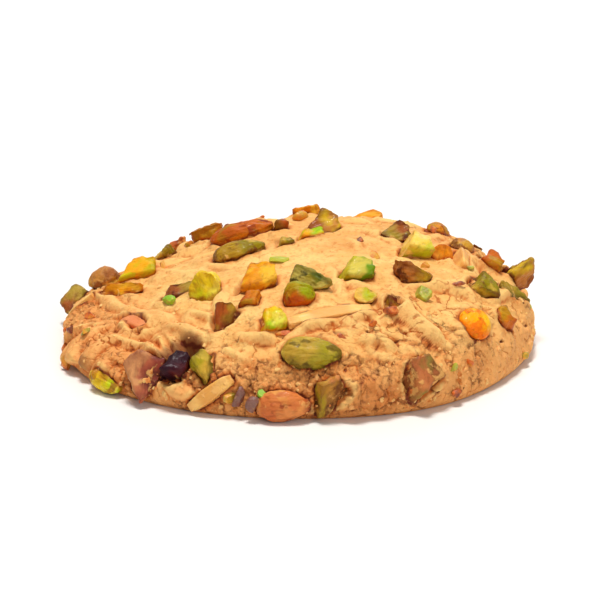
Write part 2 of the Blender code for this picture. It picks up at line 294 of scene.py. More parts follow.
def sizes():
    return bpy.context.scene.cookie_sizes


def colour(key):
    return (*getattr(bpy.context.scene.cookie_colours, key), 1)


# Node graphs


class Socket:
    """A node's output, on which arithmetic adds Math nodes."""

    def __init__(self, graph, output):
        self.graph = graph
        self.output = output

    def __add__(self, other):
        return self.graph.maths("ADD", self, other)

    def __sub__(self, other):
        return self.graph.maths("SUBTRACT", self, other)

    def __rsub__(self, other):
        return self.graph.maths("SUBTRACT", other, self)

    def __mul__(self, other):
        return self.graph.maths("MULTIPLY", self, other)

    __radd__ = __add__
    __rmul__ = __mul__


class Graph:
    """A shader or geometry node tree. Places are vectors in mm."""

    def __init__(self, tree):
        self.tree = tree

    def add(self, kind, inputs=None, output=0, **settings):
        """A new node: its settings, then the values or links of its sockets."""
        node = self.tree.nodes.new(kind)
        for key, value in settings.items():
            setattr(node, key, value)
        for key, value in (inputs or {}).items():
            self.feed(node.inputs[key], value)
        return Socket(self, node.outputs[output]) if node.outputs else node

    def feed(self, socket, value):
        if isinstance(value, Socket):
            self.tree.links.new(value.output, socket)
        else:
            socket.default_value = value

    def maths(self, operation, *values):
        return self.add("ShaderNodeMath", dict(enumerate(values)), operation=operation)

    def vector(self, operation, *values):
        return self.add("ShaderNodeVectorMath", dict(enumerate(values)), operation=operation)

    def step(self, low, high, value):
        """0 below low, 1 above high and smooth between, or the other way round."""
        return self.add(
            "ShaderNodeMapRange",
            {"Value": value, "From Min": low, "From Max": high},
            interpolation_type="SMOOTHSTEP",
        )

    def layers(self, base, *coats):
        """A base colour under coats, each with its share and its colour."""
        for share, tone in coats:
            sockets = {0: share, 6: base, 7: tone}
            base = self.add("ShaderNodeMix", sockets, 2, data_type="RGBA", clamp_factor=True)
        return base

    def noise(self, place, size, detail=2.0, output=0):
        sockets = {"Vector": place, "Scale": 1 / size, "Detail": detail, "Roughness": 0.55}
        return self.add("ShaderNodeTexNoise", sockets, output)

    def patches(self, low, high, place, size, detail=2.0):
        """A mask of where a noise passes from low to high."""
        return self.step(low, high, self.noise(place, size, detail))

    def ripple(self, place, size, height, detail=2.0):
        """A noise about 0, over that height."""
        return (self.noise(place, size, detail) - 0.5) * height

    def cells(self, place, size, feature="F1", output=0):
        sockets = {"Vector": place, "Scale": 1 / size}
        return self.add("ShaderNodeTexVoronoi", sockets, output, feature=feature)

    def wander(self, place, size, amount):
        """The place, carried off by a noise of that size, by up to that amount."""
        return self.vector("MULTIPLY_ADD", self.noise(place, size, output=1), (amount,) * 3, place)

    def part(self, vector, axis):
        return self.add("ShaderNodeSeparateXYZ", {0: vector}, "XYZ".index(axis))

    def attribute(self, name, vector=False):
        """A value that the mesh carries."""
        if self.tree.type == "GEOMETRY":
            kind = "FLOAT_VECTOR" if vector else "FLOAT"
            return self.add("GeometryNodeInputNamedAttribute", {"Name": name}, data_type=kind)
        return self.add("ShaderNodeAttribute", None, "Vector" if vector else "Fac", attribute_name=name)

    def attributes(self, *names):
        return [self.attribute(name) for name in names]


def new_material(name, **constants):
    """A Principled material, its graph and its shader. The constants go to the shader's own
    sockets."""
    material = bpy.data.materials.new(name)
    material.use_nodes = True
    shader = material.node_tree.nodes["Principled BSDF"]
    for key, value in constants.items():
        shader.inputs[key.replace("_", " ").title().replace("Ior", "IOR")].default_value = value
    return material, Graph(material.node_tree), shader


def finish_shader(graph, shader, base, roughness, height, strength=1.0):
    """Links the colour, the roughness and a height in mm."""
    bump = graph.add("ShaderNodeBump", {"Height": height, "Distance": MM, "Strength": strength})
    graph.feed(shader.inputs["Base Color"], base)
    graph.feed(shader.inputs["Roughness"], roughness)
    graph.feed(shader.inputs["Normal"], bump)


# The crust's form


def smoothstep(low, high, value):
    share = np.clip((value - low) / (high - low), 0, 1)
    return share * share * (3 - 2 * share)


def noise_at(points, size):
    """Noise from -1 to 1 at an array of points."""
    flat = (points.reshape(-1, 3) / size).tolist()
    return np.array([noise.noise(point) for point in flat]).reshape(points.shape[:-1])


def mound(away, reach):
    """1 where away is 0, falling off with that reach."""
    return np.exp(-((away / reach) ** 2))


def unit(vectors):
    return vectors / np.maximum(np.linalg.norm(vectors, axis=-1, keepdims=True), 1e-12)


def crust(bearing, drop):
    """Points on the dough's skin. Past a drop of 90 it runs under the rim to the flat base."""
    bearing, drop = np.broadcast_arrays(np.asarray(bearing, float), np.asarray(drop, float))
    angle = np.radians(bearing)
    waves = [size * np.cos(count * np.radians(bearing - start)) for count, start, size in OUTLINE_WAVES]
    widest = RIM_RADIUS * (1 + sum(waves))
    down = np.radians(np.minimum(drop, 90))
    under = np.clip((drop - 90) / (FOOT_DROP - 90), 0, 1) * math.pi / 2
    radius = widest * np.sin(down) ** (2 / SHOULDER)
    sag = LEFT_SAG * smoothstep(*SAG_SPAN, -radius * np.cos(angle) / RIM_RADIUS)
    height = (DOME_HEIGHT - RIM_HEIGHT) * np.cos(down) * (1 - sag) + RIM_HEIGHT * (1 - np.sin(under))
    radius = radius - widest * (1 - FOOT_RADIUS / RIM_RADIUS) * (1 - np.cos(under))
    points = np.stack((radius * np.cos(angle), radius * np.sin(angle), height), -1)
    lump = LUMP_HEIGHT * noise_at(points, LUMP_SPACING) * smoothstep(0, RIM_HEIGHT, height)
    outward = unit(points * (1, 1, 0) / RIM_RADIUS + (0, 0, 1))
    return np.array(MIDDLE) + points + lump[..., None] * outward


def crust_frame(bearing, drop):
    """The point on the crust, and a matrix of its directions: anticlockwise, uphill and out."""
    bearings = [bearing, bearing + FRAME_STEP, bearing - FRAME_STEP, bearing, bearing]
    drops = [drop, drop, drop, drop + FRAME_STEP, drop - FRAME_STEP]
    points = [Vector(point) for point in crust(bearings, drops)]
    out = (points[3] - points[4]).cross(points[1] - points[2]).normalized()
    along = Vector((-math.sin(math.radians(bearing)), math.cos(math.radians(bearing)), 0))
    uphill = out.cross(along).normalized()
    return points[0], Matrix((uphill.cross(out), uphill, out)).transposed()


def resting_place(piece, point, directions):
    """World matrix, scale included, of a piece of unit size pressed into the skin."""
    turned = Matrix.Rotation(math.radians(piece.turn), 3, "Z")
    pitched = Matrix.Rotation(math.radians(-piece.pitch), 3, "Y")
    rolled = Matrix.Rotation(math.radians(piece.roll), 3, "X")
    middle = point + directions.col[2] * piece.size[2] * MM * (0.5 - piece.sunk)
    scaled = Matrix.Diagonal(Vector(piece.size) * MM)
    return Matrix.Translation(middle) @ (directions @ turned @ pitched @ rolled @ scaled).to_4x4()


def tree_of(shapes):
    """One search tree round several (points, faces) shapes."""
    points, faces = joined(shapes)
    return BVHTree.FromPolygons(points.tolist(), faces)


def joined(shapes):
    points = []
    faces = []
    count = 0
    for shape_points, shape_faces in shapes:
        points.append(shape_points)
        faces += [tuple(corner + count for corner in face) for face in shape_faces]
        count += len(shape_points)
    return np.concatenate(points), faces


def shape_of(obj):
    """An object's points and faces in the world."""
    return points_of(obj.data), [tuple(face.vertices) for face in obj.data.polygons]


def placed(shape, matrix):
    points, faces = shape
    turn = np.array(matrix.to_3x3())
    return points @ turn.T + np.array(matrix.translation), faces


def node_names(*starts):
    """The part's nodes whose names start so, in order."""
    return [name for start in starts for name in sorted(frame["nodes"]) if name.startswith(start)]


def slot_of(node):
    parts = {part["node"]: part["material_slot"] for part in frame["record"]["subparts"]}
    return parts[node]


def dough_tree():
    return tree_of([shape_of(bpy.data.objects["baked_dough"])])


def taken_by(spots, share):
    """The middle and the length of each spot's piece, and of each nut, whose length is a share
    of its box's diagonal."""
    taken = [(crust(piece.bearing, piece.drop), piece.size[0] * MM) for piece in spots]
    for node in node_names("pistachio", "almond"):
        low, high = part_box(node)
        taken.append((np.array((low + high) / 2), (high - low).length * share))
    return taken


# Modelling helpers


def start_with(primitive, **where):
    """Adds a primitive with nothing else selected, and returns its object."""
    bpy.ops.object.select_all(action="DESELECT")
    getattr(bpy.ops.mesh, f"primitive_{primitive}_add")(**where)
    return bpy.context.object


def make_active(obj):
    bpy.ops.object.select_all(action="DESELECT")
    obj.select_set(True)
    bpy.context.view_layer.objects.active = obj


def edit_mode(select="SELECT"):
    bpy.ops.object.mode_set(mode="EDIT")
    bpy.ops.mesh.select_all(action=select)


def object_mode():
    bpy.ops.object.mode_set(mode="OBJECT")


def object_with(name, points, faces):
    mesh = bpy.data.meshes.new(name)
    mesh.from_pydata([tuple(point) for point in points], [], faces)
    mesh.update()
    obj = bpy.data.objects.new(name, mesh)
    bpy.context.scene.collection.objects.link(obj)
    make_active(obj)
    return obj


def set_attribute(mesh, name, values, domain="POINT"):
    values = np.asarray(values, np.float32)
    vector = values.ndim == 2
    kind = "FLOAT_VECTOR" if vector else "FLOAT"
    layer = mesh.attributes.new(name, kind, domain)
    layer.data.foreach_set("vector" if vector else "value", values.ravel())


def values_of(items, key, wide=1, kind=np.float32):
    """What each point, edge, face or corner has under that key, wide numbers for each."""
    values = np.empty(len(items) * wide, kind)
    items.foreach_get(key, values)
    return values


def attribute_of(mesh, name):
    return values_of(mesh.attributes[name].data, "value").astype(float)


def points_of(mesh):
    return values_of(mesh.vertices, "co", 3).reshape(-1, 3).astype(float)


def set_points(mesh, points):
    mesh.vertices.foreach_set("co", points.astype(np.float32).ravel())
    mesh.update()


def apply_modifier(obj, kind, **settings):
    make_active(obj)
    modifier = obj.modifiers.new(kind.lower(), kind)
    for key, value in settings.items():
        setattr(modifier, key, value)
    bpy.ops.object.modifier_apply(modifier=modifier.name)


def relief_tree(name, height_of):
    """Geometry nodes that move each point out by height_of(graph), in mm."""
    tree = bpy.data.node_groups.new(name, "GeometryNodeTree")
    tree.interface.new_socket("Geometry", in_out="INPUT", socket_type="NodeSocketGeometry")
    tree.interface.new_socket("Geometry", in_out="OUTPUT", socket_type="NodeSocketGeometry")
    graph = Graph(tree)
    shape = graph.add("NodeGroupInput")
    out = graph.vector("SCALE", graph.add("GeometryNodeInputNormal"))
    graph.feed(out.output.node.inputs["Scale"], height_of(graph) * MM)
    moved = graph.add("GeometryNodeSetPosition", {"Geometry": shape, "Offset": out})
    graph.add("NodeGroupOutput", {0: moved})
    return tree


def finish_piece(obj, material, slot, *nodes):
    """Gives the piece its finish, hangs it under the root body and hides the nodes it stands for."""
    obj.data.materials.clear()
    obj.data.materials.append(material)
    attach(obj, "root")
    if nodes:
        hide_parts(*nodes)


# Dough


def dough_patterns(graph):
    """What the crust shows, the same for its shape and for its colour: masks of its low wall,
    its coat, the lips of cracks, the drawn lines and the dark of cracks and pores, partly their own
    tone and partly painted shade, and its height in mm."""
    place = graph.attribute("rest", vector=True)
    crumble, cracked, coat, calm = graph.attributes("crumble", "cracked", "coat", "calm")
    low = graph.step(14, 5, graph.part(place, "Z"))
    bare = (1 - coat * 0.8) * (1 - calm * 0.85)
    bent = graph.wander(place, 3.5, 2.4)
    jagged = graph.wander(bent, 0.9, 0.9)

    edge = graph.cells(jagged, PLATE, "DISTANCE_TO_EDGE") * PLATE
    opened = graph.step(0.5, 0.62, graph.noise(place, 9) + cracked * 0.3 - 0.14)
    width = 0.1 + opened * graph.noise(place, 3) * 0.6
    crack = graph.step(width, 0.0, edge) * opened * (1 - coat * 0.7) * (1 - calm * 0.6)

    small_edge = graph.cells(graph.wander(jagged, 1.5, 1.2), SCALE, "DISTANCE_TO_EDGE") * SCALE
    broken = graph.step(0.52, 0.66, graph.noise(place, 2.6) + crumble * 0.12 + cracked * 0.05)
    small_crack = graph.step(0.36, 0.0, small_edge) * broken * bare

    crumbly = crumble * (1 - coat)
    crumb_gap = graph.patches(0.47, 0.38, graph.wander(place, 1.4, 1.0), 0.9, 3)
    crumb_gap = crumb_gap * graph.step(0.2, 0.8, crumbly)

    pore_size = graph.part(graph.cells(jagged, PORE, output=1), "X")
    pore_reach = 0.05 + pore_size * pore_size * pore_size * 0.5
    pitted = graph.step(0.4, 0.56, graph.noise(place, 5) + low * 0.1)
    pore = graph.step(pore_reach, pore_reach * 0.5, graph.cells(jagged, PORE) * PORE) * pitted * bare

    fold = graph.maths("ABSOLUTE", graph.noise(bent, 5.5, 1) - 0.5)
    crease = graph.step(0.02, 0.0, fold) * graph.patches(0.44, 0.58, place, 3.6) * bare
    drawn_out = graph.vector("MULTIPLY", graph.wander(place, 2.2, 1.6), (0.5, 0.6, 1.5))
    line = graph.step(0.045, 0.0, graph.maths("ABSOLUTE", graph.noise(drawn_out, 2.4, 1) - 0.5))
    stroke = line * graph.patches(0.42, 0.52, place, 2.2) * graph.attribute("streaky")

    swell = graph.step(0.0, 2.6, edge) * opened * 0.3 + fold * 1.8 * (1 - coat)
    grain = graph.ripple(place, 2.6, 0.8 + low * 0.4)
    grain = grain + graph.ripple(place, 0.9, 0.3 + crumbly * 1.2 + low * 0.3, 3)
    cuts = crack * (sizes().crack_depth / MM) + small_crack * 0.4 + crumb_gap * 0.25
    cuts = cuts + pore * 0.45 + crease * 0.3 + stroke * 0.25
    # The crumb's darker tone in cracks, gaps and pores, partly painted shade
    dark = crack * 0.9 + small_crack * 0.55 + crumb_gap * 0.3 + pore * 0.85 + stroke * 0.3
    return SimpleNamespace(
        place=place,
        low=low,
        coat=coat,
        lip=graph.step(0.9, 0.2, edge) * opened,
        drawn=crease * 0.7 + stroke,
        dark=dark,
        height=swell + grain * (1 - coat * 0.6) - cuts,
    )


def dough_relief(graph):
    shown = dough_patterns(graph)
    return shown.height * graph.step(0.4, 2.4, graph.part(shown.place, "Z"))


def dough_material():
    material, graph, shader = new_material(
        "baked_dough",
        subsurface_weight=0.1,
        subsurface_scale=0.0012,
        subsurface_radius=(1.0, 0.5, 0.25),
        specular_ior_level=0.3,
    )
    shown = dough_patterns(graph)
    place = shown.place
    near, foot, crest_highlight, browned_and_shaded, pit = graph.attributes("near", "foot", "crest_highlight", "browned_and_shaded", "pit")
    # Painted shade in hollows and under overhanging ridges, in the toast and crack tones
    under = graph.attribute("under") * (0.5 + graph.noise(place, 1.5) * 0.8)
    cream, toast_and_shade_tone = colour("dough_cream"), colour("dough_toast")

    # Toasted patches, plus the browned mask, which also darkens the left side as painted shade
    toast_and_shade = graph.patches(0.5, 0.72, place, 8, 4) * 0.3
    toast_and_shade = toast_and_shade + browned_and_shaded * (1.15 - shown.coat)
    # An oil stain round each nut, partly painted shade where the nut sits in the dough
    stain_and_shade = graph.step(1.3, 0.1, near + graph.noise(place, 1.2) - 0.5)
    # The crack tone: cracks and pores, a painted shadow in the crevice round each nut, and painted shade
    # under ridges and in pits
    crack_tone_and_shade = shown.dark + graph.step(0.45, 0.0, near) * 0.9
    crack_tone_and_shade = crack_tone_and_shade + graph.step(0.4, 1.0, under) * 0.55 + pit * 0.7
    base = graph.layers(
        colour("dough_peach"),
        (graph.patches(0.42, 0.62, place, 6), cream),
        (shown.coat * 0.5, cream),
        (shown.low * 0.9, colour("dough_tan")),
        (toast_and_shade, toast_and_shade_tone),
        (graph.patches(0.54, 0.66, place, 0.9, 3) * 0.4, toast_and_shade_tone),
        (shown.lip * 0.4, toast_and_shade_tone),
        # painted shade at the foot of the slivers
        (foot * graph.patches(0.4, 0.56, place, 1.6) * 0.85, toast_and_shade_tone),
        # oil stain and painted shade round the nuts
        (stain_and_shade * 0.75, toast_and_shade_tone),
        (shown.drawn, toast_and_shade_tone),
        # painted highlight on the crests
        (crest_highlight * 0.7, cream),
        # painted shade under ridges and in hollows
        (under, toast_and_shade_tone),
        # cracks and pores, with painted shade and painted shadow
        (crack_tone_and_shade, colour("dough_crack")),
    )
    height = shown.height * 0.5 + graph.ripple(place, 0.4, 0.25, 3)
    finish_shader(graph, shader, base, 0.62 + graph.noise(place, 2.0) * 0.25, height, 0.9)
    return material


def skin_places(cells):
    """The drop and bearing of each point of a square grid laid evenly over the crust."""
    line = np.linspace(-1, 1, cells + 1)
    across, up = np.meshgrid(line, line, indexing="ij")
    wide = np.abs(across) >= np.abs(up)
    reach = np.where(wide, across, up)
    ratio = np.divide(np.where(wide, up, across), reach, out=np.zeros_like(reach), where=reach != 0)
    angle = np.where(wide, ratio, 2 - ratio) * math.pi / 4
    bearing = np.degrees(np.arctan2(reach * np.sin(angle), reach * np.cos(angle)))
    drops = FOOT_DROP * np.linspace(0, 1, PROFILE_STEPS) ** 2
    profile = crust(np.zeros(PROFILE_STEPS), drops)
    lengths = np.concatenate(([0], np.cumsum(np.linalg.norm(np.diff(profile, axis=0), axis=1))))
    return bearing, np.interp(np.abs(reach) * lengths[-1], lengths, drops)


def blurred(field, times=1):
    """Each value mixed with its neighbours along both ways of the grid."""
    for _ in range(times):
        padded = np.pad(field, 1, mode="edge")
        field = padded[1:-1] / 2 + (padded[:-2] + padded[2:]) / 4
        field = field[:, 1:-1] / 2 + (field[:, :-2] + field[:, 2:]) / 4
    return field


def draped(field, fall, times):
    """Each value raised until it lies no more than the fall under its neighbours."""
    rows, columns = field.shape
    for _ in range(times):
        padded = np.pad(field, 1, mode="edge")
        for row in (0, 1, 2):
            for column in (0, 1, 2):
                drop = fall * math.hypot(row - 1, column - 1)
                field = np.maximum(field, padded[row : row + rows, column : column + columns] - drop)
    return field


def tops_above(tree, points, out):
    """How high the tree's pieces stand over each point, in mm, or far below where none does."""
    tops = np.full(len(points), -FAR)
    starts = points + out * REACH * MM
    for index, (start, way) in enumerate(zip(starts.tolist(), (-out).tolist())):
        hit = tree.ray_cast(start, way, 2 * REACH * MM)
        if hit[3] is not None:
            tops[index] = REACH - hit[3] / MM
    return tops


def nearest_in(tree, points):
    """Distance in mm to the nearest surface, up to FAR."""
    near = np.full(len(points), FAR)
    for index, point in enumerate(points.tolist()):
        hit = tree.find_nearest(point, FAR * MM)
        if hit[3] is not None:
            near[index] = hit[3] / MM
    return near


def scattered(rng, count, size_of, taken, drops, room, bearings=(-180, 180)):
    """Spots for further pieces, spread evenly and clear of what is taken, by a share, room, of
    both lengths."""
    spots = []
    tries = 0
    while len(spots) < count and tries < 60 * count:
        tries += 1
        bearing = rng.uniform(*bearings)
        reach = math.sqrt(rng.uniform(0, 1))
        drop = drops[0] + (drops[1] - drops[0]) * reach
        size = size_of(rng)
        middle = crust(bearing, drop)
        length = size[0] * MM
        if all(np.linalg.norm(middle - other) > room * (length + long) for other, long in taken):
            taken.append((middle, length))
            roll = rng.uniform(-35, 35)
            spots.append(spot((bearing, drop), size, rng.uniform(0, 360), roll, rng.uniform(-12, 12)))
    return spots


def sliver_shape(bend):
    """A bar of unit size with sloping sides and slimmer ends, bent sideways, as an almond's
    slice is under dough."""
    bar = start_with("cube", size=1)
    edit_mode()
    bpy.ops.mesh.subdivide(number_cuts=5)
    object_mode()
    points, faces = shape_of(bar)
    bpy.data.objects.remove(bar)
    ends = (2 * points[:, 0]) ** 2
    points[:, 1] *= (1 - 0.4 * ends) * (0.9 - 0.85 * points[:, 2])
    points[:, 1] += bend * (1 - ends)
    points[:, 0] *= 1.05 - 0.2 * points[:, 2]
    points[:, 2] = points[:, 2] * (1 - 0.3 * ends) - 0.25 * ends
    return points, faces


def sliver_size(rng):
    return (rng.uniform(8, 17), rng.uniform(1.8, 2.8), rng.uniform(1.3, 1.9))


def baked_in_slivers():
    """All the slivers under the skin, as one search tree."""
    bars = [sliver_shape(bend) for bend in SLIVER_BENDS]
    rng = random.Random(sizes().seed)
    taken = taken_by(BAKED_IN, 0.6)
    back = scattered(rng, BAKED_IN_ELSEWHERE, sliver_size, taken, **FAR_SIDE)
    shapes = []
    for index, piece in enumerate((*BAKED_IN, *back)):
        place = resting_place(piece, *crust_frame(piece.bearing, piece.drop))
        shapes.append(placed(bars[index % len(bars)], place))
    return tree_of(shapes)


def raised_over_slivers(skin, flat, out, height, cover):
    """The skin's height in mm where the slivers lift it, averaged from several places round
    each point, so that their edges come out smooth."""
    slivers = baked_in_slivers()
    ragged = np.stack([noise_at(flat + shift, 5 * MM) for shift in (0.1, 0.2, 0.3)], -1) * RAGGED * MM
    cell = [side.reshape(-1, 3) for side in np.gradient(skin, axis=(0, 1))]
    over = np.zeros(skin.shape[:2])
    for first, second in SAMPLES:
        start = flat + ragged + cell[0] * first + cell[1] * second
        buried = np.maximum(height, tops_above(slivers, start, out) + cover)
        over += draped(buried.reshape(over.shape), DRAPE, SOFTENING) / len(SAMPLES)
    return blurred(over, SOFTENING).ravel()


def met_by_nuts(flat, out, height, calm, footing, grid):
    """The skin's height with a collar round each nut, and clear of its top, and the distance
    to the nearest nut."""
    nuts = tree_of([shape_of(frame["nodes"][node]) for node in node_names("pistachio", "almond")])
    near = nearest_in(nuts, flat + out * height[:, None] * MM)
    lively = 0.9 + 1.1 * noise_at(flat, 3.5 * MM)
    collar = sizes().collar / MM * (1 - 0.4 * calm) * lively * mound(near, COLLAR_REACH)
    gap = GAP_DEPTH * smoothstep(-0.2, 0.3, noise_at(flat + 1, 4 * MM)) * mound(near, GAP_REACH)
    height = height + (collar - gap) * footing
    tops = tops_above(nuts, flat, out)
    covered = tops > -FAR
    inside = blurred(covered.astype(float).reshape(grid), 3).ravel()
    over_edge = (3 - 2.6 * calm) * smoothstep(0.86, 0.55, inside)
    limit = np.maximum(tops - 0.4 - 0.5 * calm, -2) + over_edge
    return np.where(covered, np.minimum(height, limit), height), near


def folds(level, rise):
    """Masks of what is hollow or overhung, for painted shade, and of the crests, for painted
    highlights, on a grid of the skin's height over the crust and of the crust's own height."""
    hollow = blurred(level, 8) - level
    uphill = unit(np.stack(np.gradient(rise), -1))
    steep = smoothstep(0.1, 0.45, (np.stack(np.gradient(level), -1) * uphill).sum(-1))
    under = smoothstep(0.06, 0.3, hollow) * (0.45 + steep) + 0.25 * steep
    return np.clip(under, 0, 1).ravel(), smoothstep(0.06, 0.35, -hollow).ravel()


def crust_regions(flat, bearing, drop):
    """Masks of where the crust crumbles, is cracked, drawn out into strokes, calm or browned;
    browned also darkens the left side as painted shade.
    """
    front = mound(bearing + 88, 34) * smoothstep(54, 66, drop)
    right = mound(bearing + 22, 30)
    left = mound(bearing + 155, 30) * smoothstep(25, 45, drop)
    behind = smoothstep(-0.3, 0.6, np.sin(np.radians(bearing)))
    patchy = smoothstep(0.1, 0.4, noise_at(flat + 2, 14 * MM)) * smoothstep(40, 60, drop)
    crumble = np.clip(front + 0.7 * patchy * (1 - right) * (1 - left), 0, 1)
    torn = mound(bearing + 65, 12) * mound(drop - 56, 9)
    strokes = mound(bearing + 55, 34) * mound(drop - 42, 16)
    strokes += mound(bearing + 150, 24) * mound(drop - 60, 18)
    return {
        "crumble": crumble,
        "cracked": np.clip(0.65 * behind * smoothstep(15, 50, drop) + torn, 0, 1),
        "streaky": np.maximum(strokes, 0.7 * behind * smoothstep(20, 40, drop)),
        "calm": smoothstep(*CALM_DROPS, drop - 14 * right),
        # toasted where the wall crumbles and behind, and painted shade on the left side
        "browned_and_shaded": 0.28 * np.maximum(left, crumble) + 0.15 * behind,
    }


def close_base(dough):
    """Flattens what hangs below the base, and closes it with a flat face."""
    points = points_of(dough.data)
    points[:, 2] = np.maximum(points[:, 2], 0)
    set_points(dough.data, points)
    edit_mode("DESELECT")
    bpy.ops.mesh.select_non_manifold()
    bpy.ops.mesh.edge_face_add()
    bpy.ops.mesh.select_all(action="SELECT")
    bpy.ops.mesh.normals_make_consistent(inside=False)
    object_mode()
    bpy.ops.object.shade_smooth()
    for face in dough.data.polygons:
        face.use_smooth = face.loop_total <= 4


class COOKIE_OT_dough(Operator):
    """The baked dough: its skin laid over the crust's form, raised over the slivers baked into
    it and round the nuts, then cracked and pitted"""

    bl_idname = "cookie.dough"
    bl_label = "Bake the dough"

    def execute(self, context):
        bearing, drop = skin_places(SKIN_CELLS)
        skin = crust(bearing, drop)
        grid = skin.shape[:2]
        out = unit(np.cross(np.gradient(skin, axis=0), np.gradient(skin, axis=1))).reshape(-1, 3)
        flat = skin.reshape(-1, 3)
        bearing, drop = bearing.ravel(), drop.ravel()
        footing = smoothstep(0.5 * MM, 3 * MM, flat[:, 2])
        calm = smoothstep(*CALM_DROPS, drop)

        lumps = np.zeros(len(flat))
        for lump in LUMPS:
            away = np.linalg.norm(flat - crust(lump.bearing, lump.drop), axis=1) / MM
            lumps += lump.height * mound(away, lump.radius) * footing
        uneven = sizes().unevenness / MM * noise_at(flat, 6 * MM) * 1.5 * footing
        sunk = smoothstep(0.0, 0.5, noise_at(flat + 0.4, 6 * MM)) * 0.5
        sunk += 0.5 * smoothstep(34, 14, drop)
        cover = 0.6 * np.maximum(lumps, 0) + COAT - sunk
        over = raised_over_slivers(skin, flat, out, lumps + uneven, cover)
        coat = smoothstep(0.1, 0.7, over - (lumps + uneven))
        # The foot round each sliver: a shallow groove, and painted shade in the toast tone
        foot = np.clip(blurred(coat.reshape(grid), 5).ravel() * 2.2 - coat * 2, 0, 1)
        height, near = met_by_nuts(flat, out, over - 0.4 * foot * footing, calm, footing, grid)
        height = blurred(height.reshape(grid)).ravel() * smoothstep(0.0, 1.2 * MM, flat[:, 2])
        # Masks for painted shade under ridges and for painted highlights on crests
        under, crest_highlight = folds(np.maximum(height, -1).reshape(grid), flat[:, 2].reshape(grid))

        dough = start_with("grid", x_subdivisions=SKIN_CELLS, y_subdivisions=SKIN_CELLS, size=2)
        dough.name = "baked_dough"
        corner = points_of(dough.data)
        order = np.rint((corner[:, :2] + 1) / 2 * SKIN_CELLS).astype(int)
        order = order[:, 0] * grid[1] + order[:, 1]
        set_points(dough.data, (flat + out * height[:, None] * MM)[order])
        marks = {
            "rest": flat / MM,
            "near": near,
            "coat": coat,
            "foot": foot,
            # under, crest and pit: painted shade under ridges, painted highlights on crests, painted
            # shade in pits
            "under": under,
            "crest_highlight": crest_highlight,
            "pit": smoothstep(0.5, 1.8, -lumps),
            **crust_regions(flat, bearing, drop),
        }
        for name, values in marks.items():
            set_attribute(dough.data, name, values[order])
        apply_modifier(dough, "NODES", node_group=relief_tree("dough_relief", dough_relief))
        close_base(dough)
        finish_piece(dough, dough_material(), "dough", "dough")
        return {"FINISHED"}


# Kernels


def own_axes(points):
    """The piece's middle, and its long, wide and thin directions as rows."""
    middle = points.mean(0)
    axes = np.linalg.eigh(np.cov((points - middle).T))[1].T[::-1]
    for axis in axes:
        axis *= np.sign(axis[np.argmax(np.abs(axis))])
    axes[2] = np.cross(axes[0], axes[1])
    return middle, axes


def node_copy(node, name):
    """The node's solid as a new object in edit mode, its triangles merged."""
    piece = object_with(name, *shape_of(frame["nodes"][node]))
    edit_mode()
    bpy.ops.mesh.remove_doubles(threshold=0.001 * MM)
    return piece


def crease(mesh, sharp_of):
    """Creases each edge by sharp_of the two faces it joins."""
    faces_at = {}
    for face in mesh.polygons:
        for key in face.edge_keys:
            faces_at.setdefault(key, []).append(face.index)
    values = [sharp_of(*faces_at[edge.key]) for edge in mesh.edges]
    set_attribute(mesh, "crease_edge", values, "EDGE")


def corner_mean(mesh, face_values):
    """Face values carried to the points between them."""
    corners = values_of(mesh.loops, "vertex_index", kind=int)
    sides = values_of(mesh.polygons, "loop_total", kind=int)
    total = np.bincount(corners, np.repeat(face_values, sides), len(mesh.vertices))
    return total / np.bincount(corners, minlength=len(mesh.vertices))


def softened(mesh, values):
    """Point values mixed with their neighbours'."""
    ends = values_of(mesh.edges, "vertices", 2, int).reshape(-1, 2)
    count = np.bincount(ends.ravel(), minlength=len(values))
    total = np.bincount(ends[:, 0], values[ends[:, 1]], len(values))
    total += np.bincount(ends[:, 1], values[ends[:, 0]], len(values))
    return (values + total / count) / 2


def along_grain(graph, place):
    """A pistachio's place, drawn out along its length."""
    return graph.vector("MULTIPLY", place, (0.35, 1.5, 1.5))


def kernel_relief(graph):
    """Dents, breaks and the seam of a kernel, in mm."""
    place = graph.attribute("grain", vector=True)
    cut, whole, smooth = graph.attributes("cut", "whole", "smooth")
    swell = graph.ripple(place, 3.4, 2.0, 1) + graph.ripple(place, 1.6, 0.8)
    swell = swell * (1 - whole * 0.55) * (1 - smooth * 0.8)
    chipped = graph.ripple(graph.wander(place, 1.6, 1.0), 1.5, 0.7)
    wrinkle = graph.ripple(along_grain(graph, place), 1.3, 0.5) * (1 - smooth)
    seam = graph.step(0.5, 0.1, graph.maths("ABSOLUTE", graph.part(place, "Z"))) * whole
    return swell + chipped * cut + wrinkle * (1 - cut) - seam * 0.3


